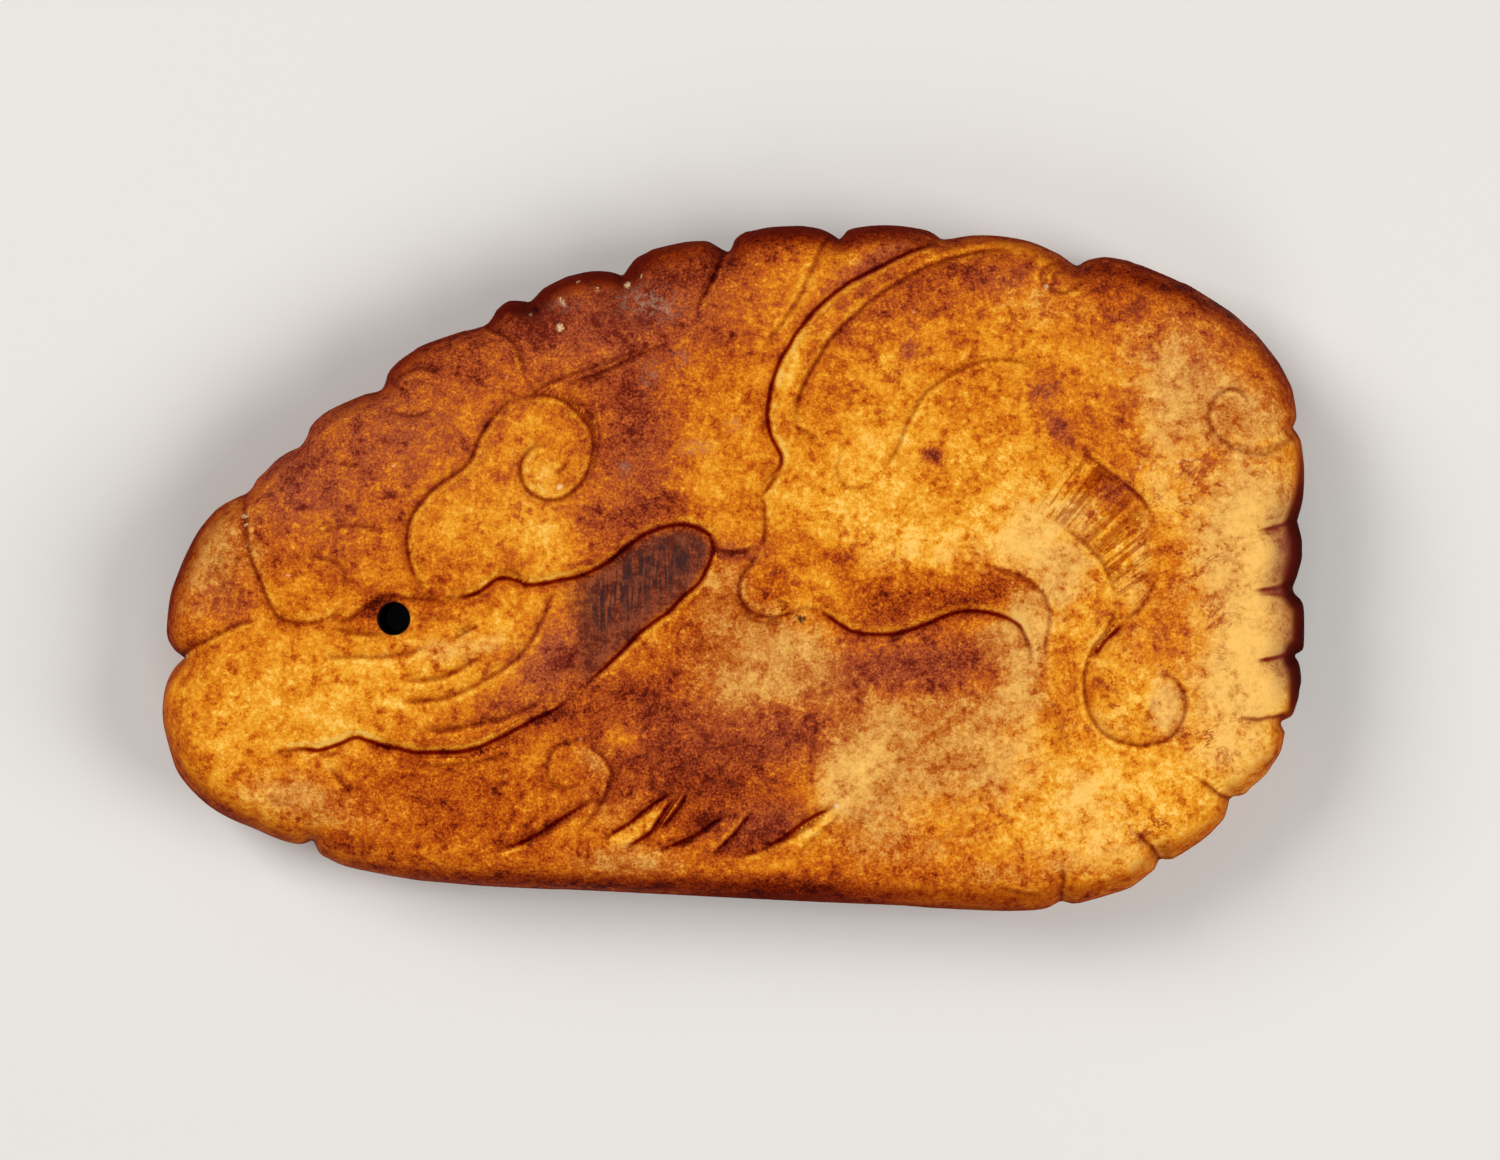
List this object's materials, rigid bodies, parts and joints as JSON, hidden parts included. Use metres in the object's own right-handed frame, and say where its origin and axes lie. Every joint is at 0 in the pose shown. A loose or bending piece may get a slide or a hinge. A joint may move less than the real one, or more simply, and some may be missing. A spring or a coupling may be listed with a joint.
{
  "type": "carved jade dragon pendant",
  "caption": "Flat amber jade pendant carved as a coiled dragon, with a scalloped rim, a carved face, a flat back and a drilled cord hole.",
  "frame": {"origin": "middle of the flat back, at the bottom centre of the box around the stone", "axes": "+X from the dragon's snout to its rump, +Y from its belly to its mane, +Z out of the carved face"},
  "size_m": [0.071, 0.0428, 0.009],
  "materials": {
    "jade": "polished translucent honey-amber stone with a russet skin and darker carved lines"
  },
  "bodies": {
    "root": {"pendant": "jade"}
  },
  "joints": []
}
